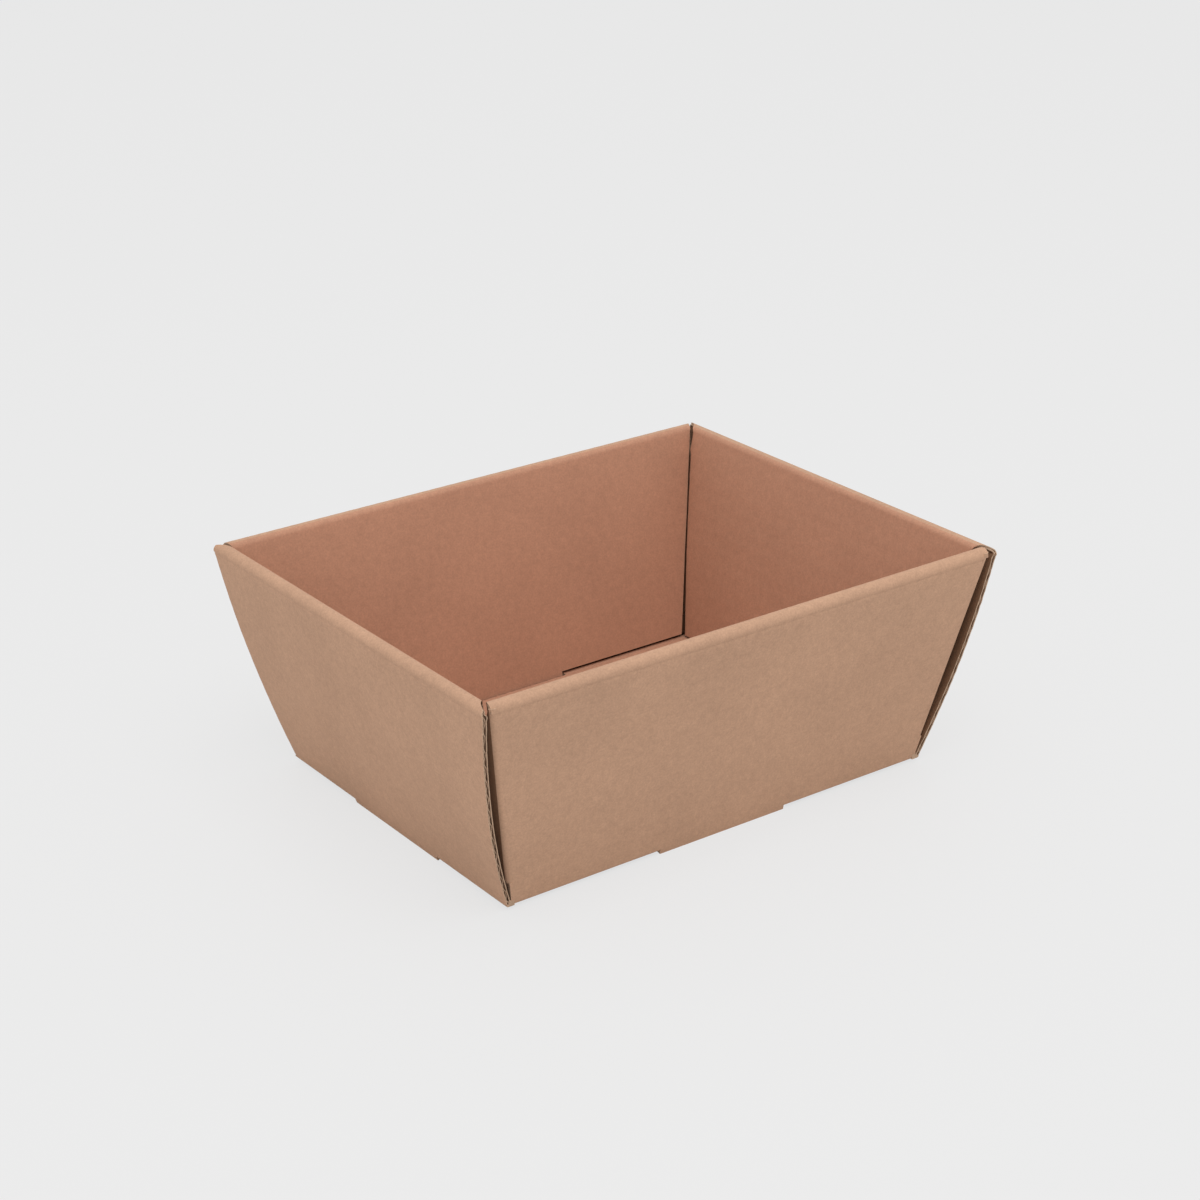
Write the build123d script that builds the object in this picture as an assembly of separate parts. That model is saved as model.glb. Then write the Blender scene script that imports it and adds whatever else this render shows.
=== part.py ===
from build123d import *
import os
from math import asin, cos, radians, sin, sqrt, tan

# Open tray box, folded from one die-cut sheet of brown corrugated board.
# The base carries four walls that lean outward. Each wall rolls over at its
# rim and comes back down inside as a second panel, whose tab drops through a
# slot along the base fold. The long outer walls carry a dust flap at each end,
# folded round the corner and held between the two layers of the short wall.
# X runs along the long side, Y along the short side, and +Z is up. The origin
# is under the middle of the base, on the surface that the tray stands on.

# ---- driving dimensions (mm, degrees) ----

base_length = 190.0         # base, fold to fold, along X
base_width = 147.0          # base, fold to fold, along Y
wall_height = 88.2          # underside of the base to the crest of the rims
flare = 12.4                # lean of every wall from upright
board = 2.5                 # thickness of the corrugated board
layer_gap = 0.5             # air left between the two layers of a rolled wall

foot_drop = 1.4             # how far the wall edges at the slots stand below the base
fold_round = 1.0            # outside rounding along the base folds
fold_strip = 4.0            # width of the base's edge that is drawn with each wall

long_tab = 55.0             # width of the locking tab of a long wall
short_tab = 55.0            # width of the locking tab of a short wall
tab_clearance = 1.0         # room at each end of a tab in its slot
slot_clearance = 0.4        # room between a tab and the inner side of its slot
tab_short = 0.6             # how far a tab ends above the underside of the base
tab_corner = 2.0            # rounding of a tab's corners
panel_lift = 1.4            # inner panels end this far above the floor
panel_corner = 1.5          # rounding of the lower corners of an inner panel

bow_past_board = 0.5        # a short outer panel bulges out by this more than the board's thickness
short_inner_bow = 0.6       # inward bulge of a short inner panel at mid height
short_proud = 0.4           # a short outer panel's side edges past the long wall's face
short_side_gap = 0.45       # a short inner panel's side edges from the long inner panel
relief_drop = 9.5           # the relief in a short inner panel's edges reaches this far below the roll
relief_depth = 1.2          # depth of that relief
rim_setback = 5.2           # a short rim's crest ends this far back from its outer panel's edge

crease_lead = 0.4           # at the base, the corner crease is this much less than a board's
                            # thickness inside the short wall's outer face
crease_set = 1.9            # at the start of the roll, it is this much more than that thickness
crease_round = 1.6          # outside rounding of the corner crease
crease_relief = 1.1         # the long wall's bottom corners are cut back this far
crease_relief_height = 8.0  # and this high
long_rim_inset = 0.6        # a long rim ends this far inside the corner crease
long_rim_mitre = 1.3        # its inner side ends this much further in
long_side_inset = 4.0       # a long inner panel's side edge inside the corner crease, at the floor

flap_length = 40.0          # dust flap, from the long wall's face to its free end
flap_step = 5.6             # the flap leans outward over this first stretch
flap_clearance = 0.2        # air between the flap's edges and the two panels that hold it
flap_top_drop = 0.7         # the crease ends this far below the start of the roll
flap_neck = 2.6             # width of the crease's top, above the flap's shoulder
flap_taper = 3.0            # the flap's edges close in by this much at the free end
flap_foot = 10.0            # the flap's shoulder starts this high at the crease

# ---- sizes worked out from them ----

half_length = base_length / 2
half_width = base_width / 2
lean = radians(flare)
rim_radius = board + layer_gap / 2
level_board = board / cos(lean)             # board thickness measured level
level_layers = 2 * rim_radius / cos(lean)   # outer face to inner face, measured level
lower_edge = (board + panel_lift) / cos(lean)  # an inner panel's lower edge, up the slope
slot_width = level_layers + slot_clearance  # a slot, from the fold inward
short_bow = board + bow_past_board          # outward bulge of a short outer panel at mid height
crease_inset_base = board - crease_lead     # corner crease inside the short wall's face, at the base
crease_inset_rim = board + crease_set       # the same, at the start of the roll
roll_start = wall_height - rim_radius * (1 + sin(lean))  # height where a long wall's roll begins

# The short wall's two bowed layers leave room for the flap only in the middle of
# their height. Its edges end where that room is down to the board and two
# clearances, and its outer face, straight, lies midway in the room there.
room_share = ((3 * level_board + 2 * flap_clearance - level_layers)
              / (short_bow + short_inner_bow))         # bulge at the flap's edges, as a part of the whole
flap_inset = flap_clearance + level_board - short_bow * room_share  # flap inside the straight line
flap_low = roll_start * (1 - sqrt(1 - room_share)) / 2
flap_high = roll_start - flap_low

clear_over = 30.0  # how far a cutting shape runs past its wall


def turned(x, y, angle):
    """The vector (x, y) turned anticlockwise by an angle in radians."""
    return x * cos(angle) - y * sin(angle), x * sin(angle) + y * cos(angle)


def on_arc(centre, spoke, angle):
    """The point that a spoke from the centre reaches once turned by an angle."""
    dx, dy = turned(*spoke, angle)
    return centre[0] + dx, centre[1] + dy


def board_runs(start, heading, runs):
    """Side view of a folded strip of board, one face for each run.

    start is where the outer liner begins, as (outward, up). heading is its
    direction in radians, anticlockwise from straight up. Each run is
    (length, turn): the length along the outer liner, and the angle in radians
    by which it curves to the left. The board lies to the left of that line.
    """
    faces = []
    x, y = start
    for length, turn in runs:
        ahead = turned(0, 1, heading)
        left = turned(-1, 0, heading)
        inner = (x + left[0] * board, y + left[1] * board)
        if turn:
            radius = length / turn
            centre = (x + left[0] * radius, y + left[1] * radius)
            spoke = (x - centre[0], y - centre[1])
            inner_spoke = (inner[0] - centre[0], inner[1] - centre[1])
            end, inner_end = on_arc(centre, spoke, turn), on_arc(centre, inner_spoke, turn)
            outer_edge = ThreePointArc((x, y), on_arc(centre, spoke, turn / 2), end)
            inner_edge = ThreePointArc(inner, on_arc(centre, inner_spoke, turn / 2), inner_end)
        else:
            end = (x + ahead[0] * length, y + ahead[1] * length)
            inner_end = (inner[0] + ahead[0] * length, inner[1] + ahead[1] * length)
            outer_edge = Line((x, y), end)
            inner_edge = Line(inner, inner_end)
        outline = [outer_edge, Line(end, inner_end), inner_edge, Line(inner, (x, y))]
        faces.append(make_face(Wire(outline)))
        x, y = end
        heading += turn
    return faces


def bowed_arc(chord, bow):
    """Length and turn of the arc over a chord that it leaves by bow at its middle."""
    if not bow:
        return chord, 0.0
    radius = chord ** 2 / (8 * bow) + bow / 2
    turn = 2 * asin(chord / (2 * radius))
    return radius * turn, turn


def wall_runs(fold_at, bow, inner_bow):
    """Side view of one wall, as faces: its fold, its foot, its rim and its inner panel.

    The fold is the base's edge with the outer panel, rounded outside. The foot
    is the same panel at a slot, which runs on straight down past the base.
    Returns the four faces and the slope length from the fold to the roll.
    """
    turn_guess = bowed_arc(wall_height, bow)[1]
    rise = rim_radius * (1 + sin(lean - turn_guess / 2))
    chord = (wall_height - rise) / cos(lean)
    outer_length, outer_turn = bowed_arc(chord, bow)
    first = -lean - outer_turn / 2
    inner_chord = chord + 2 * rim_radius * tan(lean) - tab_short / cos(lean)
    inner_length, inner_turn = bowed_arc(inner_chord, inner_bow)
    roll = radians(180) - outer_turn / 2 - inner_turn / 2
    outer, rim, inner = board_runs((fold_at, 0), first, [
        (outer_length, outer_turn), (rim_radius * roll, roll), (inner_length, inner_turn)])
    down = foot_drop / cos(first)
    toe = board_runs((fold_at + down * sin(first), -foot_drop), first, [(down, 0)])[0]
    edge = Pos(fold_at - fold_strip / 2, board / 2) * Rectangle(fold_strip, board)
    fold = Sketch() + [outer, edge]
    fold = fillet(fold.vertices().sort_by_distance((fold_at, 0))[0], fold_round)
    return (fold, outer + toe, rim, inner), chord


def corner_sliver(corner, first, second, radius):
    """What a corner between two directions loses to a rounding that touches both."""
    first, second = first.normalized(), second.normalized()
    middle = (first + second).normalized()
    half_angle = radians(middle.get_angle(second))
    reach = radius / tan(half_angle)
    centre = corner + middle * (radius / sin(half_angle))
    start, end, tip = corner + first * reach, corner + second * reach, corner - middle * board
    hollow = ThreePointArc(start, centre - middle * radius, end)
    return make_face(Wire([hollow, Line(end, tip), Line(tip, start)]))


def wall_plane(fold_at, along_x):
    """The plane of a wall's outer face: x along the fold, y up the slope, normal outward."""
    if along_x:
        return Plane(origin=(0, fold_at, 0), x_dir=(-1, 0, 0), z_dir=(0, cos(lean), -sin(lean)))
    return Plane(origin=(fold_at, 0, 0), x_dir=(0, 1, 0), z_dir=(cos(lean), 0, -sin(lean)))


def both_sides(points):
    """The outline whose right half, bottom to top, is points, mirrored about the middle."""
    return points + [(-x, y) for x, y in reversed(points)]


def cutter(plane, points, rounded=(), radius=0.0):
    """A prism across a wall, with the given outline drawn in the wall's plane.

    rounded lists the places of the corners that get the radius.
    """
    outline = make_face(Polyline(*points, close=True))
    if rounded:
        corners = [outline.vertices().sort_by_distance(points[place])[0] for place in rounded]
        outline = fillet(corners, radius)
    return extrude(plane * outline, amount=clear_over, both=True)


def spread(face, plane, reach):
    """A side view carried along a wall's fold, reach to each side of the middle."""
    return extrude(plane * face, amount=reach, both=True)


def tabbed_cutter(plane, tab, side_edge):
    """Cuts an inner panel to its outline: the tab, the lower edge and the side edge.

    side_edge lists the right side's points from the lower corner upward, as
    (distance from the middle, distance up the slope).
    """
    tab_end = tab_short / cos(lean) - board * tan(lean)
    lower_edge = side_edge[0][1]
    right = [(tab / 2 - tab_corner / 2, tab_end), (tab / 2, tab_end + tab_corner),
             (tab / 2, lower_edge)] + side_edge
    lower_corners = (3, 2 * len(right) - 4)
    return cutter(plane, both_sides(right), lower_corners, panel_corner)


# ---- the long walls, at +Y and -Y ----

def crease_inset_at(height):
    """How far the corner crease lies inside the short wall's straight line at a height."""
    return crease_inset_base + (crease_inset_rim - crease_inset_base) * height / roll_start


def crease_x(height):
    """Distance of the corner crease from the middle, at a height above the base underside."""
    return half_length + height * tan(lean) - crease_inset_at(height)


def make_long_wall():
    """The long wall at +Y: outer panel, foot, rolled rim and tabbed inner panel."""
    (fold, foot, rim, inner), slope = wall_runs(half_width, 0, 0)
    plane = wall_plane(half_width, True)
    reach = crease_x(wall_height) + clear_over

    outer_outline = both_sides([
        (crease_x(0) - crease_relief, -fold_strip), (crease_x(0) - crease_relief, 0),
        (crease_x(crease_relief_height), crease_relief_height / cos(lean)),
        (crease_x(slope * cos(lean)), slope + board)])
    foot_reach = long_tab / 2 + tab_clearance
    outer_panel = spread(fold, Plane.YZ, reach) & cutter(plane, outer_outline)
    outer_panel -= Pos(0, half_width, 0) * Box(2 * foot_reach, 2 * slot_width, 2 * level_board)
    foot_edge = spread(foot, Plane.YZ, foot_reach)

    rim_end = crease_x(slope * cos(lean)) - long_rim_inset
    face_y = half_width + slope * sin(lean)
    rim_outline = both_sides([(rim_end - long_rim_mitre, face_y - level_layers - clear_over),
                              (rim_end - long_rim_mitre, face_y - level_layers),
                              (rim_end, face_y - rim_radius), (rim_end, face_y + clear_over)])
    rolled = spread(rim, Plane.YZ, reach) & cutter(Plane.XY.offset(wall_height), rim_outline)

    side_edge = [(crease_x(board) - long_side_inset, lower_edge),
                 (rim_end - long_rim_mitre, slope + 2 * rim_radius)]
    inner_panel = spread(inner, Plane.YZ, reach) & tabbed_cutter(plane, long_tab, side_edge)
    return outer_panel + foot_edge + rolled + inner_panel


def make_crease_rounding():
    """What the corner crease at +X, +Y loses to its rounding, base to above the roll."""
    sections = []
    for height in (-board, wall_height):
        corner = Vector(crease_x(height), half_width + height * tan(lean))
        along_flap = Vector(crease_inset_at(height) - flap_inset, -flap_step)
        sliver = corner_sliver(corner, Vector(-1, 0), along_flap, crease_round)
        sections.append(Plane.XY.offset(height) * sliver)
    return loft(sections, ruled=True)


def make_dust_flap():
    """The dust flap at +X, +Y, from its crease to its free end.

    Level sections at the base and at the start of the roll are joined by
    straight lines. Each section turns the corner, leans outward over the
    first stretch and then runs along inside the short outer panel.
    """
    sections = []
    for height in (0, roll_start):
        face_y = half_width + height * tan(lean)
        crease = crease_x(height)
        line = half_length + height * tan(lean) - flap_inset
        outer = [(crease, face_y), (line, face_y - flap_step), (line, face_y - flap_length)]
        inner = [(x - level_board, y) for x, y in reversed(outer)]
        sections.append(Plane.XY.offset(height) * make_face(Polyline(*outer, *inner, close=True)))
    shell = loft(sections, ruled=True)

    top = roll_start - flap_top_drop

    def at(distance, height):
        return half_width + height * tan(lean) - distance, height

    outline = [at(-board, flap_foot), at(board, flap_foot), at(flap_step, flap_low),
               at(flap_length + board, flap_low + flap_taper),
               at(flap_length + board, flap_high - flap_taper), at(flap_step, flap_high),
               at(flap_neck, flap_high + flap_step), at(flap_neck, top), at(-board, top)]
    keep = extrude(Plane.YZ * make_face(Polyline(*outline, close=True)), amount=base_length)
    return shell & keep


# ---- the short walls, at +X and -X ----

def make_short_wall():
    """The short wall at +X: bowed outer panel, foot, rolled rim and tabbed inner panel."""
    (fold, foot, rim, inner), slope = wall_runs(half_length, short_bow, short_inner_bow)
    plane = wall_plane(half_length, False)
    reach = half_width + wall_height

    def side(distance_up):
        return half_width + distance_up * sin(lean) + short_proud

    outer_outline = both_sides([
        (side(0), -fold_strip), (side(0), 0), (side(slope), slope + board)])
    foot_reach = short_tab / 2 + tab_clearance
    outer_panel = spread(fold, Plane.XZ, reach) & cutter(plane, outer_outline)
    outer_panel -= Pos(half_length, 0, 0) * Box(2 * slot_width, 2 * foot_reach, 2 * level_board)
    foot_edge = spread(foot, Plane.XZ, foot_reach)

    inner_side = -level_layers - short_side_gap - short_proud
    face_x = half_length + slope * sin(lean)
    relief_at = slope - relief_drop
    inner_y = side(slope) + inner_side - relief_depth
    rim_outline = both_sides([
        (inner_y, face_x - level_layers - clear_over), (inner_y, face_x - level_layers),
        (side(slope) - rim_setback, face_x - rim_radius), (side(slope), face_x - board / 4),
        (side(slope), face_x + clear_over)])
    rim_plane = Plane(origin=(0, 0, wall_height), x_dir=(0, 1, 0), z_dir=(0, 0, -1))
    rolled = spread(rim, Plane.XZ, reach) & cutter(rim_plane, rim_outline)

    side_edge = [(side(lower_edge) + inner_side, lower_edge), (side(relief_at) + inner_side, relief_at),
                 (inner_y, relief_at + relief_depth), (inner_y, slope + 2 * rim_radius)]
    inner_panel = spread(inner, Plane.XZ, reach) & tabbed_cutter(plane, short_tab, side_edge)
    return outer_panel + foot_edge + rolled + inner_panel


# ---- the base ----

def make_base():
    """The base between the walls' fold strips, with its share of the four slots."""
    length, width = base_length - 2 * fold_strip, base_width - 2 * fold_strip
    base = Pos(0, 0, board / 2) * Box(length, width, board)
    for side in (-1, 1):
        long_slot = Box(long_tab + 2 * tab_clearance, 2 * slot_width, 4 * board)
        short_slot = Box(2 * slot_width, short_tab + 2 * tab_clearance, 4 * board)
        base -= Pos(0, side * half_width, 0) * long_slot
        base -= Pos(side * half_length, 0, 0) * short_slot
    return base


flap = make_dust_flap()
rounding = make_crease_rounding()
long_side = make_long_wall() + flap + mirror(flap, about=Plane.YZ)
long_side = long_side - rounding - mirror(rounding, about=Plane.YZ)
short_side = make_short_wall()

tray = make_base()
for piece in (long_side, mirror(long_side, about=Plane.XZ), short_side, mirror(short_side, about=Plane.YZ)):
    tray += piece
tray = Pos(0, 0, foot_drop) * tray

os.makedirs("parts", exist_ok=True)
export_step(tray, "parts/tray.step")
print("tray", len(tray.solids()), "solid, volume", round(tray.volume), "mm3")
print("size", [round(value, 2) for value in tray.bounding_box().size])
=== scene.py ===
"""Looks of the open tray box: corrugated kraft board, pale floor, soft light and camera.

Lengths are in millimetres until a mesh is handed to Blender. X runs along the
long side, Y along the short side, Z is up, and the origin is on the floor
under the middle of the base.
"""
import logging
from collections.abc import Callable
from dataclasses import dataclass
from enum import IntEnum
from math import asin, cos, pi, radians, sin, sqrt, tan

import bpy
import numpy as np
from mathutils import Matrix, Vector


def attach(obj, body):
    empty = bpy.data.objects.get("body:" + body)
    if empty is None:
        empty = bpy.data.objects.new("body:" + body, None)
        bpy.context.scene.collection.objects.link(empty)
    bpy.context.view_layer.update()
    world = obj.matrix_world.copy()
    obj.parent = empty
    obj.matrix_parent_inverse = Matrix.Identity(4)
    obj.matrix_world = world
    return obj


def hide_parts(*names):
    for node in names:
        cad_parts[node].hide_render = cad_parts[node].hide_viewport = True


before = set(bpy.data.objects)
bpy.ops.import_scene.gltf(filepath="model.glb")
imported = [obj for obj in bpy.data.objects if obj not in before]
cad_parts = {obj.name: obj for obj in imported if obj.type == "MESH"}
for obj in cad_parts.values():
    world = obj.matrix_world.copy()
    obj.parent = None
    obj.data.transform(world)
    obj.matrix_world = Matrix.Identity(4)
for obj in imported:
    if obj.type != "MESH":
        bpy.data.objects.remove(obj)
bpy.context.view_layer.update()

MM = 0.001
NODE = "tray"
SEED = 11
SHARP_ANGLE = radians(30)

log = logging.getLogger("tray")


class Face(IntEnum):
    """What a face of the board is, which is also its material slot. Some slots also carry painted shade,
    as told at each.
    """

    OUTSIDE = 0
    # The base's top, which is the sheet's other liner, and the walls' rolled-in outer liner, whose
    # browner, redder colour is painted shade and bounce light.
    PANEL = 1
    # Hidden faces between the layers, and painted shade on the flaps' outer face past their crease, seen
    # through the corner gaps.
    INSIDE = 2
    CUT = 3
    # The flutes' faces and the back walls of the flute pockets, painted darker than the liner: painted
    # shade for the depth of the tubes.
    HOLLOW = 4


# ---- sizes ----

@dataclass(frozen=True)
class TraySizes:
    """Driving sizes of the folded tray, in millimetres, and what follows from them."""

    base_length: float = 190.0
    base_width: float = 147.0
    wall_height: float = 88.2
    flare: float = 12.4
    board: float = 2.5
    layer_gap: float = 0.5
    foot_drop: float = 1.4
    fold_round: float = 1.0
    tab: float = 55.0
    tab_clearance: float = 1.0
    slot_clearance: float = 0.4
    tab_short: float = 0.6
    panel_lift: float = 0.8
    bow_past_board: float = 0.5
    inner_bow: float = 0.6
    short_proud: float = 0.4
    short_side_gap: float = 0.45
    relief_drop: float = 9.5
    relief_depth: float = 1.2
    rim_setback: float = 5.6
    crease_lead: float = 0.4
    crease_set: float = 1.9
    crease_round: float = 2.4
    crease_relief: float = 0.2
    long_rim_inset: float = -0.5
    long_rim_mitre: float = 1.6
    long_side_inset: float = 4.0
    flap_length: float = 40.0
    flap_step: float = 5.6
    flap_clearance: float = 0.2
    flap_top_rise: float = 1.9
    flap_neck: float = 2.6
    flap_taper: float = 3.0
    flap_foot: float = 10.0
    flute_pitch: float = 6.5
    liner: float = 0.4

    @property
    def lean(self) -> float:
        """Lean of the walls from upright, in radians."""
        return radians(self.flare)

    @property
    def rim_radius(self) -> float:
        """Outside radius of a rolled rim."""
        return self.board + self.layer_gap / 2

    @property
    def level_board(self) -> float:
        """Thickness of a leaning panel, measured level."""
        return self.board / cos(self.lean)

    @property
    def level_layers(self) -> float:
        """A rolled wall from face to face, measured level."""
        return 2 * self.rim_radius / cos(self.lean)

    @property
    def roll_start(self) -> float:
        """Height above the base underside where a long wall starts to roll."""
        return self.wall_height - self.rim_radius * (1 + sin(self.lean))

    @property
    def lower_edge(self) -> float:
        """Distance up the slope of an inner panel's lower edge."""
        return (self.board + self.panel_lift) / cos(self.lean)

    @property
    def tab_end(self) -> float:
        """Distance up the slope of a tab's end."""
        return self.tab_short / cos(self.lean) - self.board * tan(self.lean)

    def crease_inset_at(self, height: np.ndarray | float) -> np.ndarray | float:
        """How far the corner crease lies inside the short wall's straight line."""
        base = self.board - self.crease_lead
        return base + (self.crease_lead + self.crease_set) * height / self.roll_start

    def crease_x(self, height: np.ndarray | float) -> np.ndarray | float:
        """Distance of the corner crease from the middle at a height."""
        return self.base_length / 2 + height * tan(self.lean) - self.crease_inset_at(height)


# ---- shells of board ----

@dataclass
class Shell:
    """A closed skin: points, four-sided faces and what each face is."""

    points: np.ndarray
    faces: np.ndarray
    kinds: np.ndarray

    def outward(self) -> "Shell":
        """Turns the faces outward.

        The signed volume is a sixth of the sum of a . (b x c) over the triangles.

        Returns:
            The same shell.
        """
        a, b, c, d = (self.points[self.faces[:, i]] for i in range(4))
        volume = np.einsum("ij,ij->", a, np.cross(b, c)) + np.einsum("ij,ij->", a, np.cross(c, d))
        if volume < 0:
            self.faces = self.faces[:, ::-1]
        return self

    def mirrored(self, along: int) -> "Shell":
        """The same shell on the other side of the tray.

        Args:
            along: Number of the axis whose sign changes.

        Returns:
            A new shell.
        """
        points = self.points.copy()
        points[:, along] *= -1
        return Shell(points, self.faces[:, ::-1].copy(), self.kinds.copy())


def board_shell(
    outer: np.ndarray,
    inner: np.ndarray,
    kinds: tuple[Face, Face, Face] = (Face.OUTSIDE, Face.INSIDE, Face.CUT),
    keep: np.ndarray | None = None,
) -> Shell:
    """Closes two grids of the same shape into one shell.

    The cells of both grids are its two sides, and each border of the kept
    cells gets a cut edge from the one grid to the other.

    Args:
        outer: Points of the outside, rows by columns by 3.
        inner: Points of the inside, in the same order.
        kinds: What the outside, the inside and the cut edges are.
        keep: Which cells there are; all of them if left out.

    Returns:
        The closed shell, facing outward.
    """
    rows, columns = outer.shape[:2]
    if keep is None:
        keep = np.ones((rows - 1, columns - 1), bool)
    index = np.arange(rows * columns).reshape(rows, columns)
    corners = (index[:-1, :-1], index[:-1, 1:], index[1:, 1:], index[1:, :-1])
    top = np.stack([corner[keep] for corner in corners], axis=1)
    bottom = (top + rows * columns)[:, ::-1]
    padded = np.pad(keep, 1)
    inside = padded[1:-1, 1:-1]
    open_sides = [
        (inside & ~padded[:-2, 1:-1], (0, 1)),
        (inside & ~padded[1:-1, 2:], (1, 2)),
        (inside & ~padded[2:, 1:-1], (2, 3)),
        (inside & ~padded[1:-1, :-2], (3, 0)),
    ]
    edges = []
    for is_open, (first, second) in open_sides:
        start, end = corners[first][is_open], corners[second][is_open]
        edges.append(np.stack([end, start, start + rows * columns, end + rows * columns], axis=1))
    edge = np.concatenate(edges)
    points = np.concatenate([outer.reshape(-1, 3), inner.reshape(-1, 3)])
    faces = np.concatenate([top, bottom, edge])
    marks = np.concatenate([np.full(len(part), kind) for part, kind in zip((top, bottom, edge), kinds)])
    return Shell(points, faces, marks).outward()


def ruled_rows(stops: list[float], step: float) -> np.ndarray:
    """Places from the first stop to the last that hit every stop.

    Args:
        stops: Places to hit, in rising order.
        step: How far apart two places may be.

    Returns:
        The places.
    """
    parts = []
    for low, high in zip(stops, stops[1:]):
        count = max(2, int(np.ceil((high - low) / step)) + 1)
        parts.append(np.linspace(low, high, count)[:-1])
    return np.concatenate([*parts, [stops[-1]]])


@dataclass(frozen=True)
class SideView:
    """The outer liner of a folded strip seen from its side, as straight and curved runs.

    The heading is in radians, anticlockwise from straight up, and the board
    lies to the left of the line. Each run is (length, turn).
    """

    start: tuple[float, float]
    heading: float
    runs: tuple[tuple[float, float], ...]

    @property
    def stops(self) -> list[float]:
        """Distances along the line where its runs begin and end."""
        return [0.0, *np.cumsum([length for length, _ in self.runs])]

    def place(self, along: np.ndarray, depth: np.ndarray | float = 0.0) -> tuple[np.ndarray, np.ndarray]:
        """Points of the board by distance along the liner and depth under it.

        Along a run the heading turns evenly, so the way from its start is the
        chord, distance times sin(half turn) over the half turn, at the heading
        halfway.

        Args:
            along: Distances along the outer liner.
            depth: Depths to the left of it.

        Returns:
            How far out and how far up each point is.
        """
        out = np.zeros(np.broadcast(along, depth).shape)
        up = np.zeros_like(out)
        at, heading = np.array(self.start, float), self.heading
        begin = 0.0
        for number, (length, turn) in enumerate(self.runs):
            last = number == len(self.runs) - 1
            here = ((along >= begin) | (number == 0)) & ((along < begin + length) | last)
            way = along - begin
            half = turn / length * way / 2
            chord = way * np.sinc(half / pi)
            bearing = heading + 2 * half
            out_here = at[0] - chord * np.sin(heading + half) - depth * np.cos(bearing)
            up_here = at[1] + chord * np.cos(heading + half) - depth * np.sin(bearing)
            out, up = np.where(here, out_here, out), np.where(here, up_here, up)
            chord_all = length * np.sinc(turn / 2 / pi)
            at = at + chord_all * np.array([-sin(heading + turn / 2), cos(heading + turn / 2)])
            heading += turn
            begin += length
        return out, up


def bowed_arc(chord: float, bow: float) -> tuple[float, float]:
    """Works out an arc from its chord and how far it leaves it in the middle.

    The radius is the chord squared over eight bows, plus half the bow.

    Args:
        chord: Straight distance between its ends.
        bow: Distance between arc and chord at the middle; 0 for a straight line.

    Returns:
        Its length and how far it turns, in radians.
    """
    if not bow:
        return chord, 0.0
    radius = chord ** 2 / (8 * bow) + bow / 2
    turn = 2 * asin(chord / (2 * radius))
    return radius * turn, turn


@dataclass(frozen=True)
class WallView:
    """Side views of one wall: the folded strip, its fold with the base, and its foot."""

    sizes: TraySizes
    fold_at: float
    bow: float
    inner_bow: float

    @property
    def slope(self) -> float:
        """Slope length from the fold to the roll."""
        s = self.sizes
        turn = bowed_arc(s.wall_height, self.bow)[1]
        rise = s.rim_radius * (1 + sin(s.lean - turn / 2))
        return (s.wall_height - rise) / cos(s.lean)

    @property
    def strip(self) -> SideView:
        """Outer panel, roll and inner panel."""
        s = self.sizes
        length, turn = bowed_arc(self.slope, self.bow)
        inner_chord = self.slope + 2 * s.rim_radius * tan(s.lean) - s.tab_short / cos(s.lean)
        inner_length, inner_turn = bowed_arc(inner_chord, self.inner_bow)
        roll = pi - turn / 2 - inner_turn / 2
        runs = ((length, turn), (s.rim_radius * roll, roll), (inner_length, inner_turn))
        return SideView((self.fold_at, s.foot_drop), -s.lean - turn / 2, runs)

    @property
    def fold_length(self) -> float:
        """How far up the panel the rounding of the fold reaches."""
        return self.sizes.fold_round * tan((pi / 2 + self.strip.heading) / 2)

    @property
    def fold(self) -> SideView:
        """Edge of the base and the rounded fold, up to where the panel's line takes over."""
        s, turn = self.sizes, pi / 2 + self.strip.heading
        start = (self.fold_at - self.fold_length - s.board, s.foot_drop)
        return SideView(start, -pi / 2, ((s.board, 0.0), (s.fold_round * turn, turn)))

    @property
    def foot(self) -> SideView:
        """The panel's end at a slot, straight down to the floor."""
        s, heading = self.sizes, self.strip.heading
        down = s.foot_drop / cos(heading)
        start = (self.fold_at + down * sin(heading), 0.0)
        return SideView(start, heading, ((down + self.fold_length, 0.0),))

    def slope_at(self, along: np.ndarray) -> np.ndarray:
        """Distance up the wall's slope of places on the strip.

        Args:
            along: Distances along the outer liner.

        Returns:
            Their distances from the fold, taken along the straight slope.
        """
        s = self.sizes
        out, up = self.strip.place(along)
        return (out - self.fold_at) * sin(s.lean) + (up - s.foot_drop) * cos(s.lean)


# ---- the folded sheet ----

@dataclass(frozen=True)
class Wave:
    """One slow wave in a panel.

    Its length across is a part of the base's length, and its length along is
    in millimetres.
    """

    across: float
    along: float
    strength: float = 1.0
    phase: float = 0.0
    phase_by_side: float = 0.0


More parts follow.
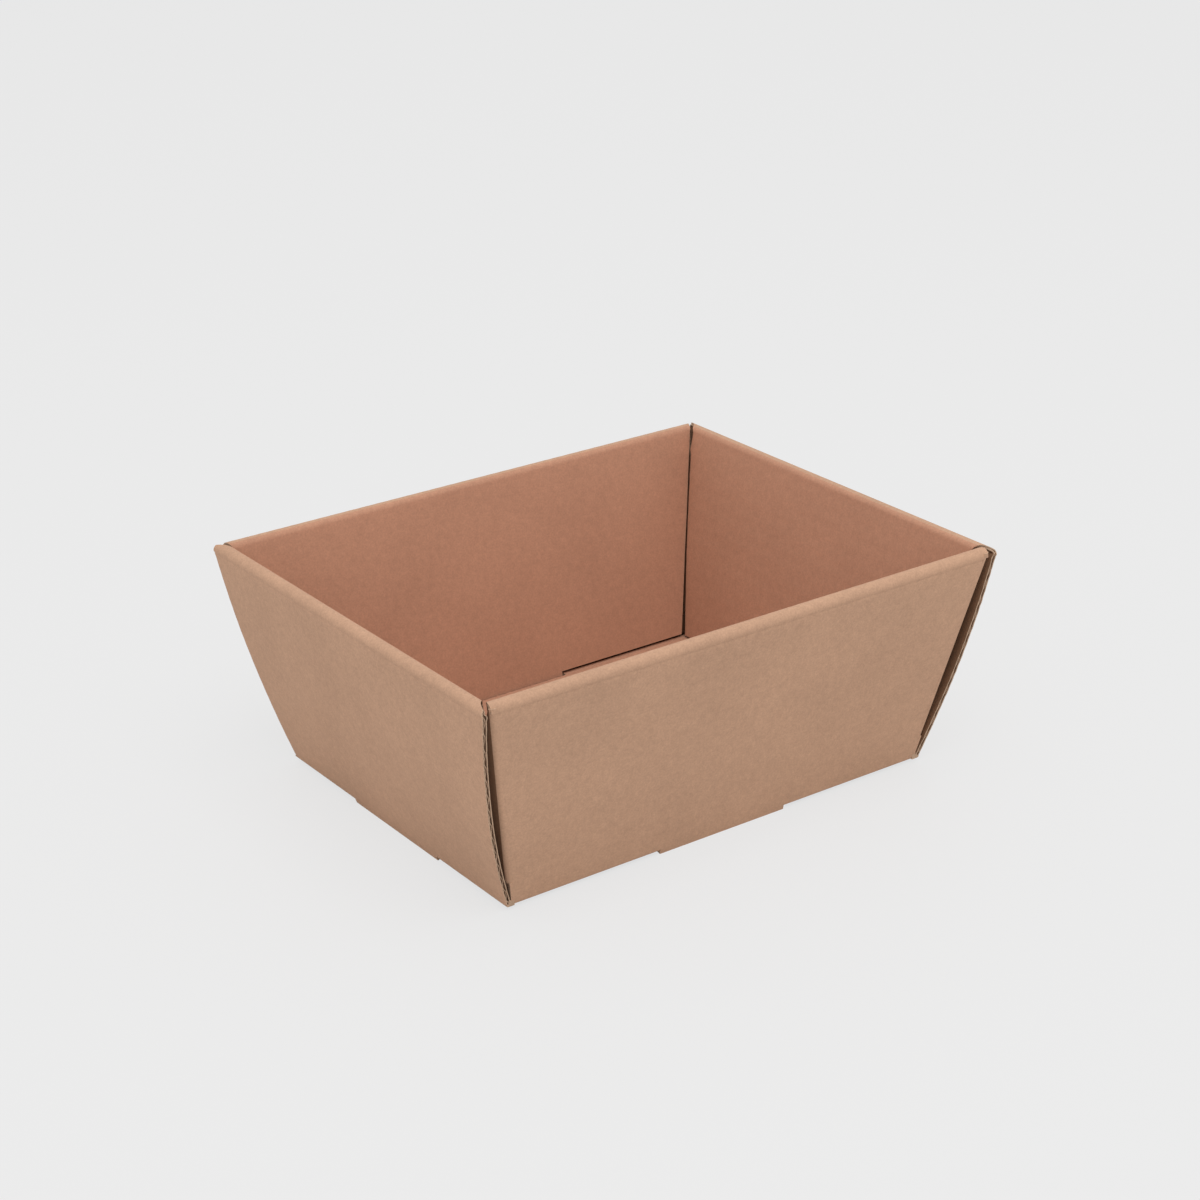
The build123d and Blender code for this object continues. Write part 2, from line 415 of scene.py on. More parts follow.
@dataclass
class Wall:
    """What every wall of the tray shares: its place, its side views and its unevenness."""

    sizes: TraySizes
    side: int
    step: float = 0.8
    row_step: float = 2.2
    rim_step: float = 0.3
    groove_step: float = 0.2
    ripple: float = 0.035
    warp: float = 0.12
    waves: tuple[Wave, ...] = (
        Wave(0.37, 95.0, phase_by_side=1.3), Wave(0.21, -60.0, strength=0.7, phase=2.1))
    groove: float = 0.16
    groove_width: float = 0.55
    groove_lead: float = 0.9
    groove_reach: float = 1.2
    outside_pinch: float = 0.4
    rim_board: float = 1.3
    # Share of the roll after which the outer liner takes the painted inside shade.
    inside_shade_share: float = 0.68

    @property
    def inside_shade_from(self) -> float:
        """Where on the roll the painted inside shade begins, on the same outer liner."""
        roll, over = self.view.strip.stops[1:3]
        return roll + self.inside_shade_share * (over - roll)

    @property
    def groove_at(self) -> float:
        """Where the pressed line along the rim lies, along the strip."""
        return self.view.strip.stops[1] - self.groove_lead

    @property
    def panel_end(self) -> float:
        """Where the inner panel ends and its tab goes on, along the strip."""
        s, view = self.sizes, self.view
        over, end = view.strip.stops[2:]
        whole = view.slope + 2 * s.rim_radius * tan(s.lean)
        return over + (end - over) * (1 - s.lower_edge / whole)

    @property
    def groove_from(self) -> float:
        """Where the finer rows of the pressed line begin."""
        return self.groove_at - self.groove_reach

    @property
    def view(self) -> WallView:
        """Side views of this wall."""
        raise NotImplementedError

    def shape(self, across: np.ndarray, along: np.ndarray, share: np.ndarray | float) -> np.ndarray:
        """Points of the strip: the wall's own frame turned into the tray's.

        Args:
            across: Distances from the middle of the wall.
            along: Distances along the outer liner.
            share: Where through the board, from 0 at the outer liner to 1 at the inner.

        Returns:
            Points, with a last axis of three.
        """
        pinch = self.pinch(across, along)
        near = self.outside_pinch * pinch
        far = self.thickness(along) - (1 - self.outside_pinch) * pinch
        sink = self.sink(across, along, True) * (1 - share) + self.sink(across, along, False) * share
        out, up = self.view.strip.place(along, near * (1 - share) + far * share + sink)
        return self.set_out(across, out, up)

    def thickness(self, along: np.ndarray) -> np.ndarray:
        """Thickness of the board, which is crushed where it rolls over the rim.

        It closes in and opens again as smooth steps, three times the square
        less twice the cube, over one board's thickness at each end of the roll.

        Args:
            along: Distances along the outer liner.

        Returns:
            The thickness at each.
        """
        s = self.sizes
        roll, over = self.view.strip.stops[1:3]
        into = np.clip((along - roll) / s.board + 0.5, 0, 1)
        back = np.clip((over - along) / s.board + 0.5, 0, 1)
        crushed = (into * into * (3 - 2 * into)) * (back * back * (3 - 2 * back))
        return s.board - (s.board - self.rim_board) * crushed

    def pinch(self, across: np.ndarray, along: np.ndarray) -> np.ndarray | float:
        """How much thinner the board is pressed at a cut edge; none on a plain wall."""
        return 0.0

    def set_out(self, across: np.ndarray, out: np.ndarray, up: np.ndarray) -> np.ndarray:
        """Points from distances across, out and up, for this wall's side of the tray."""
        raise NotImplementedError

    def flute_phase(self, across: np.ndarray, along: np.ndarray) -> np.ndarray:
        """Phase of the flutes under a place."""
        raise NotImplementedError

    def sink(self, across: np.ndarray, along: np.ndarray, outside: bool) -> np.ndarray:
        """How far a liner lies under its ideal place.

        Between two flute tips it sinks as a cosine. Slow waves warp the panels,
        fading out towards the fold, the rim and the end. A pressed groove, a
        bell curve, follows the rim on the outside.

        Args:
            across: Distances from the middle of the wall.
            along: Distances along the outer liner.
            outside: Whether it is the outer liner.

        Returns:
            The depth at each place.
        """
        s, strip = self.sizes, self.view.strip
        toward = 1.0 if outside else -1.0
        _, roll, over, end = strip.stops
        ripple = toward * self.ripple * (1 + np.cos(self.flute_phase(across, along))) / 2
        share = np.clip(np.where(along < roll, along / roll, (along - over) / (end - over)), 0, 1)
        fade = np.sin(pi * share) ** 2
        waves = 0.0
        for wave in self.waves:
            turns = across / (wave.across * s.base_length) + along / wave.along
            phase = wave.phase + wave.phase_by_side * self.side
            waves = waves + wave.strength * np.sin(2 * pi * turns + phase)
        strength = sum(wave.strength for wave in self.waves)
        groove = self.groove * np.exp(-((along - self.groove_at) / self.groove_width) ** 2)
        return ripple + self.warp * fade * waves / strength + (groove if outside else 0.0)

    def strip_shell(
        self,
        along: np.ndarray,
        half: np.ndarray,
        across: np.ndarray,
        kinds: tuple[Face, Face, Face] = (Face.OUTSIDE, Face.INSIDE, Face.CUT),
    ) -> Shell:
        """A stretch of the strip as one closed shell.

        Args:
            along: Places of the rows.
            half: Half width of the strip at each row.
            across: Places of the columns from -1 to 1, as a part of the half width.
            kinds: What its two sides and its edges are.

        Returns:
            The shell.
        """
        rows = np.repeat(along[:, None], len(across), axis=1)
        columns = half[:, None] * across[None, :]
        outer, inner = self.shape(columns, rows, 0.0), self.shape(columns, rows, 1.0)
        shell = board_shell(outer, inner, kinds)
        return self.repaint(shell, np.repeat(along[:-1] > self.inside_shade_from, len(across) - 1))

    def repaint(self, shell: Shell, beyond: np.ndarray) -> Shell:
        """Paints the outer liner browner and redder where the strip has rolled inward: painted shade and
        bounce light of the tray's inside.

        Args:
            shell: A shell whose first faces are those of its outer grid.
            beyond: Which of those cells have that look.

        Returns:
            The shell.
        """
        first = shell.kinds[:len(beyond)]
        shell.kinds[:len(beyond)] = np.where(beyond & (first == Face.OUTSIDE), Face.PANEL, first)
        return shell

    def side_view_shell(
        self,
        view: SideView,
        low: float,
        high: float,
        thickness: Callable[[np.ndarray], np.ndarray],
    ) -> Shell:
        """A plain stretch along the fold, such as the fold itself or a foot.

        Args:
            view: Its side view.
            low: Where it starts across the wall.
            high: Where it ends.
            thickness: Gives the board's thickness at each place along the view.

        Returns:
            The shell.
        """
        row_step, column_step = 0.25, 20.0
        along = ruled_rows(view.stops, row_step)
        across = ruled_rows([low, high], column_step)
        rows, columns = np.meshgrid(along, across, indexing="ij")
        outer = self.set_out(columns, *view.place(rows))
        inner = self.set_out(columns, *view.place(rows, thickness(rows)))
        return board_shell(outer, inner)

    def fold_shells(self, half: float) -> list[Shell]:
        """The rounded folds beside the slot, and the foot at the slot.

        Args:
            half: Half width of the wall at its fold.

        Returns:
            Two folds and one foot.
        """
        s, view = self.sizes, self.view
        reach = s.tab / 2 + s.tab_clearance

        def fold_thickness(rows: np.ndarray) -> np.ndarray:
            """Full on the flat, which is a board's thickness long, and thinner round the bend."""
            return np.where(rows <= s.board, s.board, s.fold_round)

        def full_thickness(rows: np.ndarray) -> np.ndarray:
            """The whole board."""
            return np.full(rows.shape, s.board)

        return [
            self.side_view_shell(view.fold, -half, -reach, fold_thickness),
            self.side_view_shell(view.fold, reach, half, fold_thickness),
            self.side_view_shell(view.foot, -reach, reach, full_thickness),
        ]


@dataclass
class LongWall(Wall):
    """A long wall: outer panel, rolled rim, tabbed inner panel and two dust flaps."""

    @property
    def view(self) -> WallView:
        """Straight panels on the fold along X."""
        return WallView(self.sizes, self.sizes.base_width / 2, 0.0, 0.0)

    def set_out(self, across: np.ndarray, out: np.ndarray, up: np.ndarray) -> np.ndarray:
        """Across is X and out is Y."""
        return np.stack(np.broadcast_arrays(across, self.side * out, up), axis=-1)

    def flute_phase(self, across: np.ndarray, along: np.ndarray) -> np.ndarray:
        """The flutes run up the wall, so they repeat across it."""
        return 2 * pi * across / self.sizes.flute_pitch

    @property
    def turn_reach(self) -> float:
        """How far from the corner its rounding starts."""
        s = self.sizes
        inset = s.crease_inset_at(s.roll_start / 2) - self.flap_inset
        flap = np.array([inset, -s.flap_step])
        cosine = -flap[0] / np.linalg.norm(flap)
        half_angle = np.arccos(cosine) / 2
        return s.crease_round / tan(half_angle)

    @property
    def flap_inset(self) -> float:
        """The flap's outer face inside the short wall's straight line."""
        s = self.sizes
        bow = s.board + s.bow_past_board
        return s.flap_clearance + s.level_board - bow * self.room_share

    @property
    def room_share(self) -> float:
        """Bulge of the short wall's layers at the flap's edges, as a part of the whole."""
        s = self.sizes
        bow = s.board + s.bow_past_board
        return (3 * s.level_board + 2 * s.flap_clearance - s.level_layers) / (bow + s.inner_bow)

    def shells(self) -> list[Shell]:
        """All shells of the wall."""
        s = self.sizes
        roll = self.view.strip.stops[1]
        columns = ruled_rows([-1.0, 1.0], self.step / (s.base_length / 2))
        foot, hair = s.flap_foot / cos(s.lean), 0.02
        rows = ruled_rows([self.view.fold_length, foot - hair, foot, self.groove_from], self.row_step)
        rows = np.concatenate([rows[:-1], ruled_rows([self.groove_from, roll], self.groove_step)])
        height = rows * cos(s.lean)
        under_flap = height < s.flap_foot - hair / 2
        half = s.crease_x(height) - np.where(under_flap, s.crease_relief, self.turn_reach)
        outside = self.strip_shell(rows, half, columns)

        rows, half = self.inner_rows()
        turned = self.strip_shell(rows, half, columns)
        half_fold = s.crease_x(0.0) - s.crease_relief
        return [outside, turned, self.tab_shell(), *self.fold_shells(half_fold), *self.flaps()]

    def inner_rows(self) -> tuple[np.ndarray, np.ndarray]:
        """Rows of the rim and the inner panel down to its lower edge.

        Returns:
            Their places along the strip and their half widths.
        """
        s = self.sizes
        _, roll, over, _ = self.view.strip.stops
        bottom = self.panel_end
        rows = np.concatenate([
            ruled_rows([roll, over], self.rim_step)[:-1], ruled_rows([over, bottom], self.row_step)])
        rim_end = s.crease_x(self.view.slope * cos(s.lean)) - s.long_rim_inset
        turned = np.clip((rows - roll) / (over - roll), 0, 1)
        rim = rim_end - s.long_rim_mitre * np.clip(2 * turned - 1, 0, 1)
        low = s.crease_x(s.board) - s.long_side_inset
        share = np.clip((rows - over) / (bottom - over), 0, 1)
        half = np.where(rows <= over, rim, (rim_end - s.long_rim_mitre) * (1 - share) + low * share)
        return rows, half

    def tab_shell(self) -> Shell:
        """The tab, from the inner panel's lower edge to its end."""
        rows = ruled_rows([self.panel_end, self.view.strip.stops[-1]], 1.0)
        columns = ruled_rows([-1.0, 1.0], 0.1)
        return self.strip_shell(rows, np.full(len(rows), self.sizes.tab / 2), columns)

    def flaps(self) -> list[Shell]:
        """The two dust flaps with their rounded creases.

        A level section runs along the long wall for a little way, turns the
        corner on an arc, leans outward over the first stretch and then runs on
        inside the short wall. The section at each height is the straight blend
        between the sections at the base and at the roll.
        """
        s = self.sizes
        neck = 1 + (s.flap_neck - s.crease_round) / (s.flap_step - s.crease_round)
        distance = np.concatenate([
            [-1.0], np.linspace(0, 1, 9)[:-1], [1.0, neck, (neck + 2) / 2], np.linspace(2, 3, 14)])
        top = s.roll_start + s.flap_top_rise
        low_edge = s.roll_start * (1 - sqrt(1 - self.room_share)) / 2
        high_edge = s.roll_start - low_edge
        gone = np.interp(distance, [0, 1, 2, 3], [0, s.crease_round, s.flap_step, s.flap_length])
        low = np.interp(
            gone, [s.board, s.flap_step, s.flap_length], [s.flap_foot, low_edge, low_edge + s.flap_taper])
        high = np.interp(
            gone, [s.flap_neck, s.flap_step, s.flap_length], [top, high_edge, high_edge - s.flap_taper])
        share = np.linspace(0, 1, 30)[:, None]
        height = low * (1 - share) + high * share
        outer = self.flap_section(np.broadcast_to(distance, height.shape), height, 0.0)
        inner = self.flap_section(np.broadcast_to(distance, height.shape), height, s.level_board)
        shell = board_shell(outer, inner)
        # Past the crease arc the flap's outer face takes the dark colour of the hidden faces: painted
        # shade of the narrow corner gap.
        gap_shade_cells = np.tile(distance[:-1] >= 1, len(share) - 1)
        shell.kinds[:len(gap_shade_cells)][gap_shade_cells] = Face.INSIDE
        return [shell, shell.mirrored(0)]

    def flap_section(self, distance: np.ndarray, height: np.ndarray, depth: float) -> np.ndarray:
        """Points of the flap at +X by distance code, height and level depth.

        On the arc a point's spoke turns evenly from the first end's to the
        last one's: each end's spoke counts with the sine of the angle left to
        the other end, over the sine of the whole.

        Args:
            distance: -1 to 0 along the wall, 0 to 1 round the arc, 1 to 2 along
                the leaning stretch and 2 to 3 along the rest.
            height: Height above the base underside.
            depth: Level depth under the outer liner.

        Returns:
            The points.
        """
        s = self.sizes
        lean_out = height * tan(s.lean)
        crease = np.stack(np.broadcast_arrays(s.crease_x(height), s.base_width / 2 + lean_out), -1)
        line = s.base_length / 2 + lean_out - self.flap_inset
        knee = np.stack([line, crease[..., 1] - s.flap_step], -1)
        end = np.stack([line, crease[..., 1] - s.flap_length], -1)
        along = (knee - crease) / np.linalg.norm(knee - crease, axis=-1, keepdims=True)
        wall = np.array([-1.0, 0.0])
        bisector = along + wall
        bisector /= np.linalg.norm(bisector, axis=-1, keepdims=True)
        half_angle = np.arccos(np.clip(np.einsum("...i,...i->...", along, bisector), -1, 1))
        reach = s.crease_round / np.tan(half_angle)
        centre = crease + bisector * (s.crease_round / np.sin(half_angle))[..., None]
        start, stop = crease + wall * reach[..., None], crease + along * reach[..., None]
        out_start, out_stop = (start - centre) / s.crease_round, (stop - centre) / s.crease_round
        round_share = np.clip(distance, 0, 1)[..., None]
        full = pi - 2 * half_angle[..., None]
        start_part, stop_part = np.sin(full * (1 - round_share)), np.sin(full * round_share)
        spoke = (start_part * out_start + stop_part * out_stop) / np.sin(full)
        middle = crease + bisector * (depth / np.sin(half_angle))[..., None]
        on_arc = centre + spoke * s.crease_round if depth == 0 else middle
        back = np.clip(-distance, 0, 1)[..., None]
        overlap = 0.5
        knee_at_depth = knee + depth * wall
        on_wall = start + back * wall * overlap - depth * np.array([0.0, 1.0])
        lean_share = np.clip(distance - 1, 0, 1)[..., None]
        lean_from = stop if depth == 0 else middle
        on_lean = lean_from * (1 - lean_share) + knee_at_depth * lean_share
        rest_share = np.clip(distance - 2, 0, 1)[..., None]
        on_rest = knee_at_depth * (1 - rest_share) + (end + depth * wall) * rest_share
        code = distance[..., None]
        on_flap = np.where(code <= 1, on_arc, np.where(code <= 2, on_lean, on_rest))
        place = np.where(code < 0, on_wall, on_flap)
        return np.stack([place[..., 0], self.side * place[..., 1], height + s.foot_drop], -1)


@dataclass
class ShortWall(Wall):
    """A short wall: bowed outer panel, rolled rim and tabbed inner panel.

    Its side edges are cut across the flutes.
    """

    flute_depth: float = 1.2
    medium: float = 0.34
    ragged: float = 0.35
    edge_pinch: float = 0.75
    pinch_reach: float = 3.5
    far_ease: float = 0.9
    column_share: float = 1 / 14
    rim_end: tuple[tuple[float, float], ...] = ((0.0, 0.0), (0.6, 0.1), (1.0, 0.7), (1.3, 1.0))

    @property
    def view(self) -> WallView:
        """Bowed panels on the fold along Y."""
        s = self.sizes
        return WallView(s, s.base_length / 2, s.board + s.bow_past_board, s.inner_bow)

    def set_out(self, across: np.ndarray, out: np.ndarray, up: np.ndarray) -> np.ndarray:
        """Across is Y and out is X."""
        return np.stack(np.broadcast_arrays(self.side * out, across, up), axis=-1)

    def flute_phase(self, across: np.ndarray, along: np.ndarray) -> np.ndarray:
        """The flutes run level, so they repeat up the wall."""
        return 2 * pi * (along + 0 * across) / self.sizes.flute_pitch

    def sink(self, across: np.ndarray, along: np.ndarray, outside: bool) -> np.ndarray:
        """As on every wall, and the outer panel bulges less towards its far end.

        Up the panel the easing follows four times the share by one less the
        share, and along the wall it grows evenly from the middle.

        Args:
            across: Distances from the middle of the wall.
            along: Distances along the outer liner.
            outside: Whether it is the outer liner.

        Returns:
            The depth at each place.
        """
        share = np.clip(along / self.view.strip.stops[1], 0, 1)
        far = np.clip(across / (self.sizes.base_width / 2), 0, 1)
        return super().sink(across, along, outside) + self.far_ease * 4 * share * (1 - share) * far

    def half_width(self, along: np.ndarray) -> np.ndarray:
        """Half width of the strip, from the fold over the rim to the inner panel's lower edge.

        Args:
            along: Distances along the outer liner.

        Returns:
            The half width at each.
        """
        s, view = self.sizes, self.view
        _, roll, over, _ = view.strip.stops
        up_slope = view.slope_at(along)

        def side(distance: np.ndarray | float) -> np.ndarray | float:
            """Half width of the outer panel at a distance up the slope."""
            return s.base_width / 2 + distance * sin(s.lean) + s.short_proud

        inner_side = -s.level_layers - s.short_side_gap - s.short_proud
        relief_at = view.slope - s.relief_drop
        inner_y = side(view.slope) + inner_side - s.relief_depth
        quarter, edge = (over - roll) / 2, side(view.slope)
        rim_at = [roll + turned * quarter for turned, _ in self.rim_end]
        rim_half = [edge - back * s.rim_setback for _, back in self.rim_end]
        rim = np.interp(along, [*rim_at, over], [*rim_half, inner_y])
        low = np.interp(
            up_slope, [s.lower_edge, relief_at, relief_at + s.relief_depth],
            [side(s.lower_edge) + inner_side, side(relief_at) + inner_side, inner_y])
        return np.where(along < roll, side(up_slope), np.where(along <= over, rim, low))

    def shells(self) -> list[Shell]:
        """All shells of the wall."""
        s, view = self.sizes, self.view
        _, roll, over, end = view.strip.stops
        bottom = self.panel_end
        rows = np.concatenate([
            ruled_rows([view.fold_length, self.groove_from], self.step)[:-1],
            ruled_rows([self.groove_from, roll], self.groove_step)[:-1],
            ruled_rows([roll, over], self.rim_step)[:-1],
            ruled_rows([over, bottom], self.step)])
        half = self.half_width(rows)
        near_edge = 1 - 2 * self.pinch_reach / s.base_width
        halfway = (1 + near_edge) / 2
        middle = ruled_rows([-near_edge, near_edge], self.column_share)
        columns = np.concatenate([[-1.0, -halfway], middle, [halfway, 1.0]])
        # The body's side edges, set back by the flute depth, close the flute pockets; their darker flute
        # colour is painted shade.
        body = self.strip_shell(
            rows, half - self.flute_depth, columns, (Face.OUTSIDE, Face.INSIDE, Face.HOLLOW))
        tab_rows = ruled_rows([bottom, end], 1.0)
        tab = self.strip_shell(tab_rows, np.full(len(tab_rows), s.tab / 2), columns)
        shells = [body, tab, *self.fold_shells(s.base_width / 2 + s.short_proud)]
        for end in (-1, 1):
            shells += self.fluted_edge(end, view.fold_length, bottom)
        return shells

    def fluted_edge(self, end: int, low: float, high: float) -> list[Shell]:
        """The open ends of the flutes along one side edge.

        They are two liners and the waved sheet between them, which follows a
        cosine of the distance along the wall. Each sheet's cut end is a little
        ragged, by an even random draw averaged over five rows.

        Args:
            end: Which end of the wall: -1 for the one towards -Y, 1 for the other.
            low: Where along the strip the edge starts.
            high: Where it ends.

        Returns:
            Three closed shells.
        """
        s = self.sizes
        rows_per_flute, blur = 18, 5
        along = ruled_rows([low, high], s.flute_pitch / rows_per_flute)
        draw = np.random.default_rng(SEED + 2 * self.side + end)
        columns = np.linspace(0, 1, 3)
        shells = []
        thickness = self.thickness(along) - self.edge_pinch * self.off_rim(along)
        liner, medium = s.liner / thickness, self.medium / thickness
        swing = np.maximum(0.5 - liner - medium / 2, 0)
        wave = 0.5 + swing * np.cos(self.flute_phase(np.zeros_like(along), along))
        # Faces towards the flutes take the darker flute colour: painted shade for the depth of the tubes.
        sheets = [
            (0 * along, liner, 0.0, (Face.OUTSIDE, Face.HOLLOW, Face.CUT)),
            (1 - liner, liner, 0.0, (Face.HOLLOW, Face.INSIDE, Face.CUT)),
            (wave - medium / 2, medium, self.ragged, (Face.HOLLOW, Face.HOLLOW, Face.CUT)),
        ]
        for top, through, set_back, kind in sheets:
            drawn = draw.uniform(0, 1, len(along) + blur - 1)
            noise = np.convolve(drawn, np.ones(blur) / blur, "valid")
            half = self.half_width(along)
            root, reach = half - self.flute_depth, half - set_back - self.ragged * noise
            across = root[:, None] * (1 - columns) + reach[:, None] * columns
            rows = np.repeat(along[:, None], len(columns), axis=1)
            outer = self.shape(end * across, rows, top[:, None])
            inner = self.shape(end * across, rows, (top + through)[:, None])
            cells = np.repeat(along[:-1] > self.inside_shade_from, len(columns) - 1)
            shells.append(self.repaint(board_shell(outer, inner, kind), cells))
        return shells

    def pinch(self, across: np.ndarray, along: np.ndarray) -> np.ndarray:
        """The side edges are pressed thinner, by the square of how near the edge is."""
        near = np.clip(1 - (self.half_width(along) - np.abs(across)) / self.pinch_reach, 0, 1)
        return self.edge_pinch * near ** 2 * self.off_rim(along)

    def off_rim(self, along: np.ndarray) -> np.ndarray:
        """0 on the rolled rim and 1 on the panels, a board's thickness away from it."""
        roll, over = self.view.strip.stops[1:3]
        return np.clip(np.maximum(roll - along, along - over) / self.sizes.board, 0, 1)


@dataclass
class Floor:
    """The base panel between the folds, with the four slots open along its edges."""

    sizes: TraySizes

    def shells(self) -> list[Shell]:
        """The base as one shell."""
        s = self.sizes
        slot = s.level_layers + s.slot_clearance
        reach = s.tab / 2 + s.tab_clearance
        flat = s.board + s.fold_round * 0.8
        half_x, half_y = s.base_length / 2, s.base_width / 2
        xs = [-half_x + flat / 2, -half_x + slot, -reach, reach, half_x - slot, half_x - flat / 2]
        ys = [-half_y + flat / 2, -half_y + slot, -reach, reach, half_y - slot, half_y - flat / 2]
        keep = np.ones((5, 5), bool)
        keep[0, 2] = keep[4, 2] = keep[2, 0] = keep[2, 4] = False
        grid_x, grid_y = np.meshgrid(xs, ys, indexing="ij")
        under = np.stack([grid_x, grid_y, np.full_like(grid_x, s.foot_drop)], -1)
        over = under + np.array([0, 0, s.board])
        return [board_shell(under, over, (Face.OUTSIDE, Face.PANEL, Face.CUT), keep)]


# ---- finishes ----

@dataclass(frozen=True)
class KraftFinish:
    """Matt brown kraft paper with darker and paler fibres, tufts of them and clouds."""

    name: str
    colour: tuple[float, float, float]
    fibre: float = 0.10
    tuft: float = 0.6
    cloud: float = 0.05
    roughness: float = 0.8
    shine: float = 0.25

    def build(self) -> bpy.types.Material:
        """Makes the paper on Object coordinates.

        Returns:
            The finished material.
        """
        material = bpy.data.materials.new(self.name)
        material.use_nodes = True
        nodes, links = material.node_tree.nodes, material.node_tree.links
        shader = nodes["Principled BSDF"]
        shader.inputs["Roughness"].default_value = self.roughness
        shader.inputs["Specular IOR Level"].default_value = self.shine
        where = nodes.new("ShaderNodeTexCoord")
        mixed = None
        layers = (
            (1400.0, 2.0, self.fibre),
            (380.0, 3.0, self.fibre * self.tuft),
            (28.0, 2.0, self.cloud),
        )
        for scale, detail, amount in layers:
            noise = nodes.new("ShaderNodeTexNoise")
            noise.inputs["Scale"].default_value = scale
            noise.inputs["Detail"].default_value = detail
            links.new(where.outputs["Object"], noise.inputs["Vector"])
            level = nodes.new("ShaderNodeMapRange")
            level.inputs["From Min"].default_value = 0.25
            level.inputs["From Max"].default_value = 0.75
            level.inputs["To Min"].default_value = 1 - amount
            level.inputs["To Max"].default_value = 1 + amount
            links.new(noise.outputs["Fac"], level.inputs["Value"])
            if mixed is None:
                mixed = level.outputs["Result"]
                continue
            times = nodes.new("ShaderNodeMath")
            times.operation = "MULTIPLY"
            links.new(mixed, times.inputs[0])
            links.new(level.outputs["Result"], times.inputs[1])
            mixed = times.outputs["Value"]
        paint = nodes.new("ShaderNodeVectorMath")
        paint.operation = "SCALE"
        paint.inputs[0].default_value = self.colour
        links.new(mixed, paint.inputs["Scale"])
        links.new(paint.outputs["Vector"], shader.inputs["Base Color"])
        return material


FINISHES = {
    Face.OUTSIDE: KraftFinish("kraft_outer_liner", (0.49, 0.295, 0.192)),
    # Browner, redder colour of the tray's inside: on the walls it is the same outer liner, so there it is
    # painted shade and bounce light.
    Face.PANEL: KraftFinish("kraft_inner_liner_and_painted_inside_shade", (0.48, 0.25, 0.16)),
    # Dark colour of the hidden faces, also painted on the flaps past their crease as shade of the corner
    # gaps.
    Face.INSIDE: KraftFinish("kraft_hidden_liner_and_painted_gap_shade", (0.17, 0.088, 0.048)),
    Face.CUT: KraftFinish("kraft_cut_edge", (0.46, 0.31, 0.21), fibre=0.2),
    # Darker than the liners: painted shade inside the flutes.
    Face.HOLLOW: KraftFinish("kraft_flute_painted_shade", (0.30, 0.185, 0.12)),
}


def make_piece(
    name: str,
    shells: list[Shell],
    materials: dict[Face, bpy.types.Material],
) -> bpy.types.Object:
    """Joins shells into one mesh object that stands for part of the folded sheet.

    Args:
        name: Name of the object.
        shells: Its closed shells, in millimetres.
        materials: One material for each kind of face.

    Returns:
        The object, riding on the tray's body.
    """
    offsets = np.cumsum([0, *(len(shell.points) for shell in shells[:-1])])
    points = np.concatenate([shell.points for shell in shells])
    faces = np.concatenate([shell.faces + offset for shell, offset in zip(shells, offsets)])
    kinds = np.concatenate([shell.kinds for shell in shells])
    mesh = bpy.data.meshes.new(name)
    mesh.from_pydata((points * MM).tolist(), [], faces.tolist())
    for kind in Face:
        mesh.materials.append(materials[kind])
    mesh.polygons.foreach_set("material_index", kinds.astype(np.int32))
    mesh.polygons.foreach_set("use_smooth", np.ones(len(faces), bool))
    mesh.set_sharp_from_angle(angle=SHARP_ANGLE)
    mesh.update()
    piece = bpy.data.objects.new(name, mesh)
    bpy.context.scene.collection.objects.link(piece)
    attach(piece, "root")
    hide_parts(NODE)
    log.info("%s: %d shells, %d faces", name, len(shells), len(faces))
    return piece


@dataclass(frozen=True)
class Lamp:
    """A square soft lamp that shines at the origin: lengths in metres, power in watts."""

    name: str
    place: tuple[float, float, float]
    size: float
    power: float

    def hang(self) -> None:
        """Puts the lamp in the scene."""
        lamp = bpy.data.lights.new(self.name, "AREA")
        lamp.size = self.size
        lamp.energy = self.power
        holder = bpy.data.objects.new(self.name, lamp)
        holder.location = self.place
        holder.rotation_euler = (-Vector(self.place)).to_track_quat("-Z", "Y").to_euler()
        bpy.context.scene.collection.objects.link(holder)


